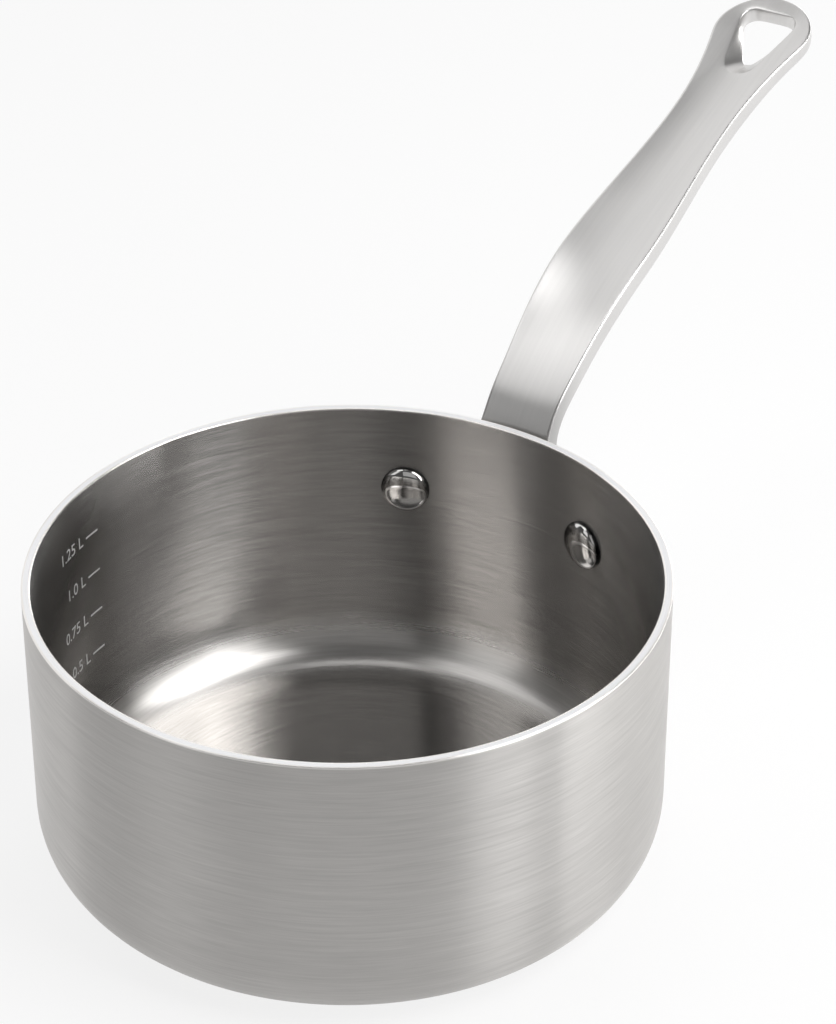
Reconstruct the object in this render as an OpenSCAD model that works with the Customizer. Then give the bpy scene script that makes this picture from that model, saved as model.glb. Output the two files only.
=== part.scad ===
// Long-handled saucepan in bonded three-ply steel, with a cast handle held by two rivets.
// The origin is the centre of the underside, +Z points up and the handle runs along +X.

/* [Pan] */
// Inside diameter of the pan
inner_d = 160; // [120:1:240]
// Height of the rim above the underside
pan_h = 82; // [70:1:140]
// Outside radius of the corner between floor and wall
corner_r = 18; // [8:0.5:25]
// Thickness of the inner steel ply
inner_ply_t = 0.5; // [0.3:0.1:0.8]
// Thickness of the aluminium core ply
core_ply_t = 1.3; // [0.8:0.1:2.5]
// Thickness of the outer steel ply
outer_ply_t = 0.5; // [0.3:0.1:0.8]
// Radius that breaks the two edges of the rim
rim_edge_r = 0.3; // [0.1:0.05:0.3]

/* [Handle spine] */
// Height above the underside at which the handle's top face bends away from the wall
leave_z = 67.7; // [60:0.1:70]
// Gap between the wall and the handle's top face, above the flange
wall_gap = 1; // [0.5:0.1:1.5]
// Length of the handle's root that lies along the wall
root_len = 17.7; // [12:0.1:20]
// Radius of the bend that turns the handle away from the wall
root_bend_r = 26; // [20:0.5:32]
// Slope of the ramp above the bend, in degrees
ramp_angle = 35.2; // [25:0.1:45]
// Length of the ramp
ramp_len = 13.5; // [6:0.1:25]
// Radius of the shoulder bend between ramp and grip
shoulder_r = 108; // [60:1:160]
// Slope of the grip, in degrees
grip_angle = 16; // [8:0.1:22]
// Length of the straight grip
grip_len = 67.5; // [50:0.5:110]
// Length of the end, from the grip to the tip
tip_len = 45.5; // [38:0.5:60]
// Slope at the very tip, in degrees
tip_angle = 20; // [16:0.1:28]

/* [Handle section] */
// Width of the neck, where the handle clears the rim
neck_w = 20.9; // [16:0.1:24]
// Width of the belly, over the shoulder bend
belly_w = 25.4; // [20:0.1:32]
// Width of the waist, before the ring
waist_w = 19.3; // [15:0.1:24]
// Diameter of the round tip
tip_d = 29.4; // [26:0.1:34]
// Distance from the wall to the neck, along the handle
neck_at = 15.5; // [12:0.5:20]
// Distance from the wall to the belly
belly_at = 72; // [60:0.5:88]
// Distance from the wall to the waist
waist_at = 132; // [110:0.5:142]
// Thickness at the neck
neck_t = 7.5; // [5.5:0.1:9]
// Thickness along the grip
grip_t = 7.2; // [5:0.1:9]
// Thickness at the tip
tip_t = 5.5; // [4:0.1:7]
// Depth of the shallow dish along the top face
dish = 0.9; // [0.2:0.1:1.4]
// Depth of the hollow along the underside
hollow = 1.3; // [0.2:0.1:2]
// Radius of the crisp top edges
top_edge_r = 0.7; // [0.3:0.1:1]
// Radius of the soft lower edges
low_edge_r = 1.5; // [1:0.1:2]
// Draft of the side faces, on each side
side_draft_w = 0.1; // [0:0.1:0.5]

/* [Hanging hole] */
// Length of the hole at the top face
hole_len = 27.8; // [22:0.5:32]
// Width of the hole at its far end
hole_w = 17; // [12:0.1:18]
// Metal left between the hole and the tip
ring_w = 5.8; // [4:0.1:7]
// Radius of the hole's two far corners
far_corner_r = 4; // [3:0.1:6]
// Radius of the hole's near corner
near_corner_r = 4.8; // [3:0.1:6]
// How far the near end slopes inwards through the thickness
near_draft_w = 8.5; // [2:0.5:12]
// Radius of the near corner at the underside
near_low_r = 2; // [2:0.1:4]
// How far the other walls lean inwards through the thickness
hole_draft_w = 0.4; // [0.2:0.1:1]

/* [Flange] */
// Thickness of the flange that hugs the wall
flange_t = 3.2; // [2.5:0.1:4.5]
// Radius of the lug around each rivet
lug_r = 9.5; // [8:0.1:11]
// Radius of the flange's middle
hub_r = 16; // [12:0.1:18]
// Height of the hub's centre above the rivets' centres
hub_rise = 2.5; // [0:0.1:4]

/* [Rivets] */
// Distance between the two rivets' centres, measured straight across at the wall
rivet_pitch = 57.5; // [50:0.5:70]
// Height of the rivets above the underside
rivet_z = 57.2; // [50:0.1:60]
// Diameter of the shank
shank_d = 5; // [4:0.1:6]
// Diameter of the domed head inside the pan
head_d = 13.5; // [10:0.1:16]
// Height of the domed head
head_h = 3; // [2:0.1:4]
// Height of the straight edge below the dome
head_edge = 0.7; // [0.3:0.1:1.2]
// Diameter of the head formed over the flange
tail_d = 9; // [7:0.1:12]
// Height of that formed head
tail_h = 1.6; // [1:0.1:2.5]

/* [Hidden] */
$fn = 96;

// Body of the pan
wall_t = inner_ply_t + core_ply_t + outer_ply_t;
inner_r = inner_d / 2;
outer_r = inner_r + wall_t;
// Overrun that lets every cut pass through its face
over = pan_h / 40;

// Rivets stand square to the wall, this many degrees to either side of the handle
rivet_angle = asin(rivet_pitch / 2 / outer_r);
flange_r = outer_r + flange_t;
dome_h = head_h - head_edge;

// Handle: distances along the spine start at the root's buried end
bend_len = arc_length(root_bend_r, 90 - ramp_angle);
shoulder_len = arc_length(shoulder_r, ramp_angle - grip_angle);
// Each leg of the spine is [length, slope at its start, slope at its end]
legs = [
    [root_len, 90, 90],
    [bend_len, 90, ramp_angle],
    [ramp_len, ramp_angle, ramp_angle],
    [shoulder_len, ramp_angle, grip_angle],
    [grip_len, grip_angle, grip_angle],
    [tip_len, grip_angle, tip_angle]
];
last_leg = len(legs) - 1;
spine_len = leg_start(len(legs));
tip_r = tip_d / 2;
tip_at = spine_len - tip_r;
neck_s = root_len + neck_at;
belly_s = root_len + belly_at;
waist_s = root_len + waist_at;
// Radius of the hollow flank that runs from the waist into the round tip
flank_r = (pow(tip_at - waist_s, 2) - pow(tip_r, 2) + pow(waist_w / 2, 2)) / (2 * tip_r - waist_w);
// The flank touches the round tip here
touch_s = waist_s + (tip_at - waist_s) * flank_r / (flank_r + tip_r);
touch_angle = asin((tip_at - touch_s) / tip_r);
// The root starts inside the flange, and swells before it narrows to the neck
root_w = hub_r * 1.1;
swell_w = hub_r * 1.7;
swell_s = root_len * 0.4;
root_t = flange_t * 0.4;
// Stations along the spine, and round the tip
leg_steps = [9, 9, 5, 8, 12, 7];
tip_steps = 12;
// Rows across the faces, as shares of the half width, and steps round an edge
row_shares = [0.3, 0.55, 0.8];
edge_steps = 4;

// Hanging hole, set out from the middle of the round tip
hole_far = tip_r - ring_w;
hole_near = hole_len - hole_far;

// Round stretch's length from its radius and its turn in degrees
function arc_length(r, turn) = r * turn * PI / 180;
function clamp_unit(t) = min(1, max(0, t));
function ease(t) = let (c = clamp_unit(t)) c * c * (3 - 2 * c);
function blend(a, b, t) = a + (b - a) * ease(t);

// Distance along the spine at which leg i starts
function leg_start(i) = i == 0 ? 0 : leg_start(i - 1) + legs[i - 1][0];
// Slope after distance d along a leg, and the straight line from its start to there
function leg_slope(leg, d) = leg[1] + (leg[2] - leg[1]) * d / leg[0];
function leg_chord(leg, d) =
    let (half = (leg_slope(leg, d) - leg[1]) / 2,
         ratio = half == 0 ? 1 : sin(half) / (half * PI / 180),
         mid = leg[1] + half)
    d * ratio * [cos(mid), sin(mid)];
function leg_origin(i) =
    i == 0 ? [outer_r + wall_gap, leave_z - root_len] : leg_origin(i - 1) + leg_chord(legs[i - 1], legs[i - 1][0]);
function leg_of(s, i = 0) =
    i == last_leg || s < leg_start(i + 1) ? i : leg_of(s, i + 1);
// Point [x, z] and slope of the spine at distance s
function spine_point(s) = let (i = leg_of(s)) leg_origin(i) + leg_chord(legs[i], s - leg_start(i));
function spine_slope(s) = let (i = leg_of(s)) leg_slope(legs[i], s - leg_start(i));

// Half width of the handle at distance s, up to where its flank meets the round tip
function half_width(s) =
    s < swell_s ? blend(root_w, swell_w, s / swell_s) / 2
    : s < neck_s ? blend(swell_w, neck_w, (s - swell_s) / (neck_s - swell_s)) / 2
    : s < belly_s ? blend(neck_w, belly_w, (s - neck_s) / (belly_s - neck_s)) / 2
    : s < waist_s ? blend(belly_w, waist_w, (s - belly_s) / (waist_s - belly_s)) / 2
    : waist_w / 2 + flank_r - sqrt(pow(flank_r, 2) - pow(s - waist_s, 2));
function thickness(s) =
    s < neck_s ? blend(root_t, neck_t, s / neck_s)
    : s < belly_s ? blend(neck_t, grip_t, (s - neck_s) / (belly_s - neck_s))
    : blend(grip_t, tip_t, (s - waist_s) / (tip_at - waist_s));
// The dish and the hollow fade out towards the root
function relief(s) = ease((s - root_len) / (belly_s - root_len));

// Stations of one flank, from the root to the top of the tip
stations = concat(
    [for (i = [0 : last_leg], k = [0 : leg_steps[i] - 1])
        let (run = i < last_leg ? legs[i][0] : touch_s - leg_start(i),
             s = leg_start(i) + run * k / leg_steps[i])
        [s, half_width(s)]],
    [for (k = [0 : tip_steps])
        let (a = -touch_angle + (90 + touch_angle) * k / tip_steps)
        [tip_at + tip_r * sin(a), tip_r * cos(a)]]
);
// Closed outline of the handle: up one flank, round the tip and back down the other
flank_n = len(stations);
outline = concat(stations, [for (i = [flank_n - 2 : -1 : 0]) [stations[i][0], -stations[i][1]]]);
ring_n = len(outline);

// Outward direction of the outline at point i, square to the spine at the root's end
function outline_normal(i) =
    i == 0 ? [0, 1] : i == ring_n - 1 ? [0, -1] :
    let (d = outline[i + 1] - outline[i - 1]) [-d[1], d[0]] / norm(d);

// Levels from the middle of the top face, over the edges, to the middle of the underside:
// [0 for the top face or 1 for the underside, turn round the edge, share of the half width]
edge_turns = [for (k = [0 : edge_steps]) 90 * k / edge_steps];
levels = concat(
    [for (share = row_shares) [0, 0, share]],
    [for (a = edge_turns) [0, a, 1]],
    [for (a = edge_turns) [1, 90 - a, 1]],
    [for (k = [len(row_shares) - 1 : -1 : 0]) [1, 0, row_shares[k]]]
);

// Radius of the lower edge, which shrinks where the root is thin
function low_r(s) = min(low_edge_r, (thickness(s) - top_edge_r) * 0.7);
// Inset from the outline and depth below the top face, on a level at distance s
function level_inset(level, s) =
    level[0] == 0 ? top_edge_r * (1 - sin(level[1])) : side_draft_w + low_r(s) * (1 - sin(level[1]));
function level_depth(level, s) =
    level[0] == 0 ? top_edge_r * (1 - cos(level[1])) : thickness(s) - low_r(s) * (1 - cos(level[1]));

// One point of the handle: outline point i on a level, laid along the spine and round the wall
function handle_point(i, level) =
    let (flat = outline[i] - level_inset(level, outline[i][0]) * outline_normal(i),
         share = level[2],
         s = flat[0] > tip_at ? tip_at + share * (flat[0] - tip_at) : max(0, flat[0]),
         u = flat[1] * share,
         bowl = (1 - share * share) * relief(s) * (level[0] == 0 ? dish : -hollow),
         depth = level_depth(level, s) + bowl,
         p = spine_point(s),
         a = spine_slope(s),
         hug = (1 - ease((s - root_len) / neck_at)) * (outer_r - sqrt(pow(outer_r, 2) - u * u)))
    [p[0] + depth * sin(a) - hug, u, p[1] - depth * cos(a)];

// Faces between neighbouring levels, and across the middle of the top face and the underside
function band(a, b) = [for (i = [0 : ring_n - 1])
    let (j = (i + 1) % ring_n)
    each [[a + i, b + j, a + j], [a + i, b + i, b + j]]];
function middle(a, up) = [for (i = [0 : flank_n - 2])
    let (j = ring_n - 1 - i, quad = [a + i, a + i + 1, a + j - 1, a + j])
    each (i == flank_n - 2 ? [up ? [quad[0], quad[1], quad[3]] : [quad[0], quad[3], quad[1]]]
        : up ? [[quad[0], quad[1], quad[2]], [quad[0], quad[2], quad[3]]]
        : [[quad[0], quad[2], quad[1]], [quad[0], quad[3], quad[2]]])];

// Outline of the pan's body, set in from its outer face by a ply's depth
module body_outline(depth) {
    r = corner_r - depth;
    square_w = outer_r - corner_r;
    translate([0, depth]) square([square_w, pan_h - depth + over]);
    translate([0, corner_r]) square([outer_r - depth, pan_h - corner_r + over]);
    translate([square_w, corner_r]) intersection() {
        circle(r = r);
        translate([0, -r]) square([r, r]);
    }
}

// One bonded ply, between two depths below the outer face
module ply(near, far) {
    difference() {
        rotate_extrude() difference() {
            intersection() {
                body_outline(near);
                square([outer_r, pan_h]);
            }
            body_outline(far);
        }
        rivet_holes();
    }
}

// Ring with a quarter-round corner that breaks one edge of the rim
module rim_break(r, side) {
    rotate_extrude() translate([r, pan_h]) difference() {
        translate([side > 0 ? -rim_edge_r : 0, -rim_edge_r]) square([rim_edge_r, rim_edge_r]);
        translate([-side * rim_edge_r, -rim_edge_r]) circle(r = rim_edge_r, $fn = 48);
    }
}

module at_rivet(side) {
    rotate([0, 0, side * rivet_angle]) translate([0, 0, rivet_z]) rotate([0, 90, 0]) children();
}

module rivet_holes() {
    for (side = [-1, 1])
        at_rivet(side) translate([0, 0, inner_r - over])
            cylinder(d = shank_d, h = wall_t + flange_t + 2 * over, $fn = 48);
}

module inner_ply() {
    color([0.78, 0.77, 0.76]) difference() {
        ply(wall_t - inner_ply_t, wall_t);
        rim_break(inner_r, -1);
    }
}

module core_ply() {
    color([0.66, 0.67, 0.69]) ply(outer_ply_t, wall_t - inner_ply_t);
}

module outer_ply() {
    color([0.8, 0.79, 0.78]) difference() {
        ply(0, outer_ply_t);
        rim_break(outer_r, 1);
    }
}

// Dome of base radius r and height h, standing on the plane z = 0
module dome(r, h) {
    ball = (r * r + h * h) / (2 * h);
    rotate_extrude() intersection() {
        translate([0, h - ball]) circle(r = ball);
        square([r, h]);
    }
}

// A rivet's domed head follows the wall inside, and its formed end follows the flange outside
module rivet(side) {
    color([0.86, 0.86, 0.86]) {
        at_rivet(side) translate([0, 0, inner_r - head_edge])
            cylinder(d = shank_d, h = head_edge + wall_t + flange_t + tail_h / 2, $fn = 48);
        intersection() {
            at_rivet(side) {
                translate([0, 0, inner_r - head_edge]) mirror([0, 0, 1]) dome(head_d / 2, dome_h);
                translate([0, 0, inner_r - head_edge]) cylinder(d = head_d, h = head_edge + over);
            }
            cylinder(r = inner_r, h = pan_h);
        }
        difference() {
            at_rivet(side) {
                translate([0, 0, flange_r]) dome(tail_d / 2, tail_h);
                translate([0, 0, flange_r - tail_h / 2]) cylinder(d = tail_d, h = tail_h / 2);
            }
            cylinder(r = flange_r, h = pan_h);
        }
    }
}

// Rod that stands square to the wall, over a rivet for side -1 or 1 and under the handle for side 0
module wall_rod(side, rise, r) {
    rotate([0, 0, side * rivet_angle]) translate([0, 0, rivet_z + rise]) rotate([0, 90, 0])
        cylinder(r = r, h = flange_r + over, $fn = 64);
}

// The flange hugs the wall: a hub that tapers into a lug round each rivet
module flange() {
    intersection() {
        difference() {
            cylinder(r = flange_r, h = pan_h);
            translate([0, 0, -over]) cylinder(r = outer_r, h = pan_h + 2 * over);
        }
        for (side = [-1, 1]) hull() {
            wall_rod(0, hub_rise, hub_r);
            wall_rod(side, 0, lug_r);
        }
    }
}

// Rounded triangle of the hanging hole at a depth below the top face, its point towards the pan
module hole_ring(depth) {
    share = depth / tip_t;
    far_r = far_corner_r - hole_draft_w * share;
    near_r = near_corner_r + (near_low_r - near_corner_r) * share;
    translate([0, 0, -depth]) {
        for (side = [-1, 1])
            translate([hole_far - far_corner_r, side * (hole_w / 2 - far_corner_r), 0])
                cylinder(r = far_r, h = over / 10, $fn = 32);
        translate([near_r - hole_near + near_draft_w * share, 0, 0])
            cylinder(r = near_r, h = over / 10, $fn = 32);
    }
}

module hanging_hole() {
    p = spine_point(tip_at);
    translate([p[0], 0, p[1]]) rotate([0, -spine_slope(tip_at), 0]) hull() {
        hole_ring(-over);
        hole_ring(tip_t + over);
    }
}

// The bar is swept along the spine from its levels
module handle_bar() {
    points = [for (level = levels, i = [0 : ring_n - 1]) handle_point(i, level)];
    faces = concat(
        middle(0, true),
        [for (k = [0 : len(levels) - 2]) each band(k * ring_n, (k + 1) * ring_n)],
        middle((len(levels) - 1) * ring_n, false)
    );
    polyhedron(points, faces, convexity = 6);
}

module handle() {
    color([0.82, 0.81, 0.8]) difference() {
        union() {
            flange();
            handle_bar();
        }
        rivet_holes();
        hanging_hole();
    }
}

module rivet_left() {
    rivet(1);
}

module rivet_right() {
    rivet(-1);
}

inner_ply();
core_ply();
outer_ply();
handle();
rivet_left();
rivet_right();
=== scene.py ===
"""Long-handled saucepan: the looks of its plies, cast handle, rivets and volume marks."""

import math

import bmesh
import bpy
from bpy.props import FloatProperty, FloatVectorProperty, IntProperty, PointerProperty
from bpy.types import Operator, Panel, PropertyGroup
from mathutils import Matrix, Vector


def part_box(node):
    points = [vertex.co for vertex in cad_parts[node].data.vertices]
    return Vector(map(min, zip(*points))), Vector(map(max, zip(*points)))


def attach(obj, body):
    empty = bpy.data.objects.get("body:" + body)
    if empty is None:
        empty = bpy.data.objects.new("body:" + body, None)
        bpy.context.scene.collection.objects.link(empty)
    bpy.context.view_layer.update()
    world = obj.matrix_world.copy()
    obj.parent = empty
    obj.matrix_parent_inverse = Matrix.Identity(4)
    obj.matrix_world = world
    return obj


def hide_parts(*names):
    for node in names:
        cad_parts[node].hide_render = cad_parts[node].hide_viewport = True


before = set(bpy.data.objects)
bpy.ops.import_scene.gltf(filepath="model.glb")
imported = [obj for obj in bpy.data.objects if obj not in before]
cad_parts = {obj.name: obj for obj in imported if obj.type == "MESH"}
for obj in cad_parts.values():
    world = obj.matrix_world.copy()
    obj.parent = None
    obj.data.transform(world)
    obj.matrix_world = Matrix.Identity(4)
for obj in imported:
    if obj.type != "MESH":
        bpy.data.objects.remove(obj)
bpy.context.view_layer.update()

bl_info = {
    "name": "Long-handled saucepan",
    "version": (1, 0, 0),
    "blender": (4, 5, 0),
    "location": "View3D > Sidebar > Saucepan",
    "description": "Builds a three-ply saucepan with a cast handle, rivets and volume marks",
    "category": "Add Mesh",
}

MM = 0.001
BODY = "root"

# Sizes that the frame fixes, in metres
RIM_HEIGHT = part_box("outer_ply")[1].z
OUTER_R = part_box("outer_ply")[1].y
CORE_OUTER_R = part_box("core_ply")[1].y
CORE_INNER_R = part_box("inner_ply")[1].y
FLOOR_OUTER_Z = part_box("outer_ply")[0].z
CORE_LOW_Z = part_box("core_ply")[0].z
INNER_LOW_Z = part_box("inner_ply")[0].z


def length(name, description, millimetres):
    """A size, given in millimetres."""
    return FloatProperty(name=name, description=description, default=millimetres * MM, unit="LENGTH")


def angle(name, description, degrees):
    """An angle, given in degrees."""
    value = math.radians(degrees)
    return FloatProperty(name=name, description=description, default=value, subtype="ANGLE")


def colour(name, description, default):
    """A colour, in linear light."""
    return FloatVectorProperty(
        name=name, description=description, default=default, subtype="COLOR", size=3
    )


def roughness(name, place, default):
    """How rough the finish of a place is: 0 is a mirror, 1 is matt."""
    words = {"name": f"{name} roughness", "description": f"Roughness of the {place}"}
    return FloatProperty(default=default, min=0.0, max=1.0, **words)


class PanSizes(PropertyGroup):
    corner_r: length("Corner radius", "Outside radius between floor and wall", 18)
    inner_ply: length("Inner ply", "Thickness of the inner steel ply", 0.5)
    rim_edge: length("Rim edge", "Radius that breaks the two edges of the rim", 0.3)
    turns: IntProperty(name="Steps round", description="Faces round the pan", default=256)


class HandleSizes(PropertyGroup):
    leave_z: length("Bend height", "Height at which the handle bends away from the wall", 67.7)
    wall_gap: length("Wall gap", "Gap between the wall and the handle above the flange", 1)
    root_len: length("Root", "Length of the root along the wall", 17.7)
    root_bend_r: length("Root bend", "Radius of the bend above the root", 26)
    ramp_angle: angle("Ramp slope", "Slope above the root bend", 35.2)
    ramp_len: length("Ramp", "Length of the ramp", 13.5)
    shoulder_r: length("Shoulder", "Radius of the bend between ramp and grip", 108)
    grip_angle: angle("Grip slope", "Slope of the grip", 16)
    grip_len: length("Grip", "Length of the straight grip", 67.5)
    tip_len: length("End", "Length from the grip to the tip", 45.5)
    tip_angle: angle("Tip slope", "Slope at the very tip", 20)
    neck_w: length("Neck width", "Width where the handle clears the rim", 20.9)
    belly_w: length("Belly width", "Width over the shoulder bend", 25.4)
    waist_w: length("Waist width", "Width before the ring", 19.3)
    tip_d: length("Tip diameter", "Diameter of the round tip", 29.4)
    neck_at: length("Neck place", "Distance from the wall to the neck", 15.5)
    belly_at: length("Belly place", "Distance from the wall to the belly", 72)
    waist_at: length("Waist place", "Distance from the wall to the waist", 132)
    neck_t: length("Neck thickness", "Thickness at the neck", 7.5)
    grip_t: length("Grip thickness", "Thickness along the grip", 7.2)
    tip_t: length("Tip thickness", "Thickness at the tip", 5.5)
    dish: length("Dish", "Depth of the dish along the top face", 0.9)
    hollow: length("Hollow", "Depth of the hollow along the underside", 1.3)
    top_edge_r: length("Top edge", "Radius of the crisp top edges", 0.7)
    low_edge_r: length("Lower edge", "Radius of the soft lower edges", 1.5)
    side_draft: length("Side draft", "How far each side leans in", 0.1)
    flange_t: length("Flange thickness", "Thickness of the flange on the wall", 3.2)
    lug_r: length("Lug radius", "Radius of the lug round each rivet", 9.5)
    hub_r: length("Hub radius", "Radius of the flange's middle", 16)
    hub_rise: length("Hub rise", "Height of the hub's centre above the rivets", 2.5)


class HoleSizes(PropertyGroup):
    top_length: length("Hole length", "Length of the hole at the top face", 27.8)
    width: length("Hole width", "Width of the hole at its far end", 17)
    ring_w: length("Ring", "Metal between the hole and the tip", 5.8)
    far_r: length("Far corners", "Radius of the two far corners", 4)
    near_r: length("Near corner", "Radius of the near corner", 4.8)
    near_draft: length("Near draft", "How far the near end slopes in", 8.5)
    near_low_r: length("Near low corner", "Radius of the near corner at the underside", 2)
    taper: length("Taper", "How far the other walls lean in", 0.4)
    edge_r: length("Hole edge", "Radius of the hole's edges", 0.5)


class RivetSizes(PropertyGroup):
    pitch: length("Pitch", "Distance between the rivets at the wall", 57.5)
    height: length("Height", "Height of the rivets above the underside", 57.2)
    shank_d: length("Shank", "Diameter of the shank", 5)
    head_d: length("Head", "Diameter of the domed head", 13.5)
    head_h: length("Head height", "Height of the domed head", 3)
    head_edge: length("Head edge", "Height of the straight edge below the dome", 0.7)
    tail_d: length("Formed head", "Diameter of the head formed outside", 9)
    tail_h: length("Formed height", "Height of the head formed outside", 1.6)


class MarkSizes(PropertyGroup):
    letter_h: length("Letter height", "Height of the figures", 3.6)
    gap: length("Gap", "Space between the figures and the dash", 1.4)
    base: length("Base", "Height at which the scale starts", 4.7)
    first: FloatProperty(name="First", description="Litres at the lowest mark", default=0.5)
    dash_l: length("Dash", "Length of the dash beside each volume", 5.2)
    stroke: length("Stroke", "Width of the dash", 0.55)
    proud: length("Proud", "Height of the etched skin above the steel", 0.03)
    first_at: angle("Place", "Direction of the dashes' ends, from the handle", 88.4)
    step: FloatProperty(name="Step", description="Litres between two marks", default=0.25)
    count: IntProperty(name="Marks", description="Number of volume marks", default=4)


class Finish(PropertyGroup):
    steel: colour("Steel", "Colour of the brushed steel", (0.51, 0.497, 0.483))
    cast: colour("Cast steel", "Colour of the satin handle", (0.7, 0.69, 0.68))
    polished: colour("Polished steel", "Colour of the rivets", (0.72, 0.71, 0.7))
    core: colour("Aluminium", "Colour of the core ply", (0.88, 0.88, 0.89))
    etched: colour("Etched", "Colour of the volume marks", (0.5, 0.5, 0.49))
    floor: colour("Floor", "Colour of the floor", (0.9, 0.9, 0.9))
    inside_rough: roughness("Inner wall", "wall inside", 0.25)
    bottom_rough: roughness("Inner floor", "pan's floor inside", 0.16)
    outside_rough: roughness("Outer wall", "wall outside", 0.36)
    underside_rough: roughness("Underside", "underside", 0.3)
    core_rough: roughness("Core", "core's edge", 0.35)
    cast_rough: roughness("Handle", "handle", 0.3)
    polished_rough: roughness("Rivets", "rivets", 0.035)


class Studio(PropertyGroup):
    azimuth: angle("Camera direction", "Direction that the camera looks in", 32.2)
    elevation: angle("Camera height", "Angle that the camera looks down at", 33.69)
    distance: length("Camera distance", "Distance from the rim's centre to the camera", 837.4)
    rim_x: FloatProperty(name="Rim x", description="Pixel of the rim's centre, across", default=347.69)
    rim_y: FloatProperty(name="Rim y", description="Pixel of the rim's centre, down", default=571.35)
    focal: FloatProperty(name="Focal length", description="Focal length in pixels", default=3311.3)


SETTINGS = {
    "pan": PanSizes,
    "handle": HandleSizes,
    "hole": HoleSizes,
    "rivet": RivetSizes,
    "mark": MarkSizes,
    "finish": Finish,
    "studio": Studio,
}


class SaucepanSettings(PropertyGroup):
    pan: PointerProperty(type=PanSizes)
    handle: PointerProperty(type=HandleSizes)
    hole: PointerProperty(type=HoleSizes)
    rivet: PointerProperty(type=RivetSizes)
    mark: PointerProperty(type=MarkSizes)
    finish: PointerProperty(type=Finish)
    studio: PointerProperty(type=Studio)


def settings():
    """The saucepan's settings in the open scene."""
    return bpy.context.scene.saucepan


# Shader maths
NOISE_ROUGHNESS = 0.55
# Where most of a noise's values lie
NOISE_LOW, NOISE_HIGH = 0.3, 0.7


class Sock:
    """Wraps a node's output socket, so that sums on it add Math nodes."""

    def __init__(self, shader, socket):
        self.shader = shader
        self.socket = socket

    def math(self, operation, *values):
        node = self.shader.node("ShaderNodeMath", {"operation": operation}, dict(enumerate(values)))
        return node.out(0)

    def __add__(self, other):
        return self.math("ADD", self, other)

    def __radd__(self, other):
        return self.math("ADD", other, self)

    def __sub__(self, other):
        return self.math("SUBTRACT", self, other)

    def __rsub__(self, other):
        return self.math("SUBTRACT", other, self)

    def __mul__(self, other):
        return self.math("MULTIPLY", self, other)

    def __rmul__(self, other):
        return self.math("MULTIPLY", other, self)

    def __truediv__(self, other):
        return self.math("DIVIDE", self, other)

    def __rtruediv__(self, other):
        return self.math("DIVIDE", other, self)

    def root(self):
        return self.math("SQRT", self)

    def most(self, other):
        return self.math("MAXIMUM", self, other)


class Made:
    """A node of a Shader, whose outputs come wrapped."""

    def __init__(self, shader, node):
        self.shader = shader
        self.node = node

    def out(self, name):
        return Sock(self.shader, self.node.outputs[name])


class Shader:
    """Builds the node tree of one material or world."""

    def __init__(self, owner):
        self.owner = owner
        owner.use_nodes = True
        self.tree = owner.node_tree
        self.tree.nodes.clear()

    def node(self, kind, options=None, inputs=None):
        """A node of a kind, with its options set first and then the values or links of its sockets."""
        made = self.tree.nodes.new(kind)
        for key, value in (options or {}).items():
            setattr(made, key, value)
        for key, value in (inputs or {}).items():
            if isinstance(value, Sock):
                self.tree.links.new(value.socket, made.inputs[key])
            else:
                made.inputs[key].default_value = value
        return Made(self, made)

    def coordinates(self, kind="Object"):
        """X, Y and Z of the point on the object, or of another kind of coordinates."""
        place = self.node("ShaderNodeTexCoord").out(kind)
        parts = self.node("ShaderNodeSeparateXYZ", None, {0: place})
        return parts.out("X"), parts.out("Y"), parts.out("Z")

    def vector(self, x, y, z):
        return self.node("ShaderNodeCombineXYZ", None, {0: x, 1: y, 2: z}).out(0)

    def noise(self, place, detail=2.0):
        inputs = {"Vector": place, "Scale": 1.0, "Detail": detail, "Roughness": NOISE_ROUGHNESS}
        return self.node("ShaderNodeTexNoise", {"noise_dimensions": "3D"}, inputs).out(0)

    def blots(self, place, number, detail=1.0):
        """Even noise, with a number of blots to the metre."""
        return self.noise(self.vector(*(axis * number for axis in place)), detail)

    def remap(self, value, low, high, start=NOISE_LOW, end=NOISE_HIGH, easing="LINEAR"):
        """value, from start to end, spread from low to high."""
        options = {"clamp": True, "interpolation_type": easing}
        inputs = {"Value": value, "From Min": start, "From Max": end, "To Min": low, "To Max": high}
        return self.node("ShaderNodeMapRange", options, inputs).out(0)

    def tint(self, rgb, shade):
        """rgb, made lighter or darker by shade."""
        return self.node(
            "ShaderNodeMix",
            {"data_type": "RGBA", "blend_type": "MULTIPLY"},
            {0: 1.0, 6: (*rgb, 1.0), 7: self.vector(shade, shade, shade)},
        ).out(2)

    def bump(self, height, depth, strength):
        inputs = {"Height": height, "Distance": depth, "Strength": strength}
        return self.node("ShaderNodeBump", None, inputs).out(0)

    def metal(self, rgb, rough, anisotropic=0.0, turn=0.0, normal=None):
        """Bare metal, whose highlights stretch by anisotropic and are turned by a share of a circle."""
        inputs = {
            "Base Color": rgb,
            "Metallic": 1.0,
            "Roughness": rough,
            "Anisotropic": anisotropic,
            "Anisotropic Rotation": turn,
        }
        if normal is not None:
            inputs["Normal"] = normal
        return self.node("ShaderNodeBsdfPrincipled", None, inputs).out(0)

    def mixed(self, share, first, second):
        """The first surface, giving way to the second as share grows."""
        return self.node("ShaderNodeMixShader", None, {0: share, 1: first, 2: second}).out(0)

    def finish(self, surface, kind="ShaderNodeOutputMaterial"):
        """Gives the surface to the output, and gives back the finished material or world."""
        self.node(kind, None, {"Surface": surface})
        return self.owner


def new_shader(name):
    return Shader(bpy.data.materials.new(name))


# Finishes
# Shades are shares of a colour, from the darkest to the palest
# A quarter turn, at which highlights spread across the round brushing
QUARTER = 0.25
# Radius inside which the brushing has no direction
POLE_R = 0.5 * MM
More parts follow.
